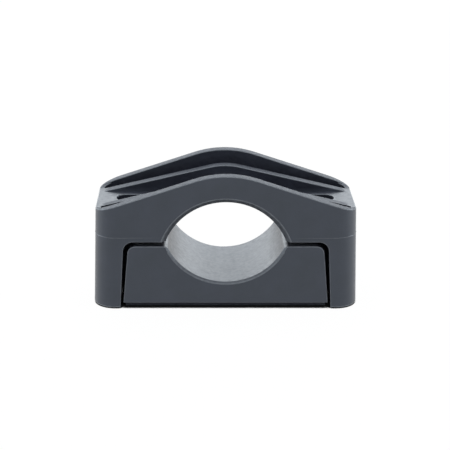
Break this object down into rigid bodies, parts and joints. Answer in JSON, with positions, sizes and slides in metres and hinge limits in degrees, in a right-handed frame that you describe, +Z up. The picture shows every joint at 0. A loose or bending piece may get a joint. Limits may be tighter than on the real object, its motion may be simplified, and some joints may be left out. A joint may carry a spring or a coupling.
{
  "type": "cable cleat",
  "caption": "Moulded cable cleat: a ribbed bridge with slotted lugs and legs slides down over a saddle and clamps a cable between round seats.",
  "frame": {"origin": "centre of the cleat's footprint on the mounting face", "axes": "+X across the cable from bolt to bolt, +Y along the cable, +Z up away from the mounting face"},
  "size_m": [0.1348, 0.052, 0.0703],
  "materials": {
    "bridge_nylon": "fine moulded satin, charcoal glass-filled nylon",
    "saddle_nylon": "fine moulded satin, charcoal glass-filled nylon"
  },
  "bodies": {
    "saddle": {"lower_saddle": "saddle_nylon"},
    "bridge": {"upper_clamp": "bridge_nylon"}
  },
  "joints": [
    {"name": "bridge_slide", "type": "slide", "parent": "saddle", "child": "bridge", "axis": [0, 0, 1], "range_m": [0, 0.023]}
  ]
}
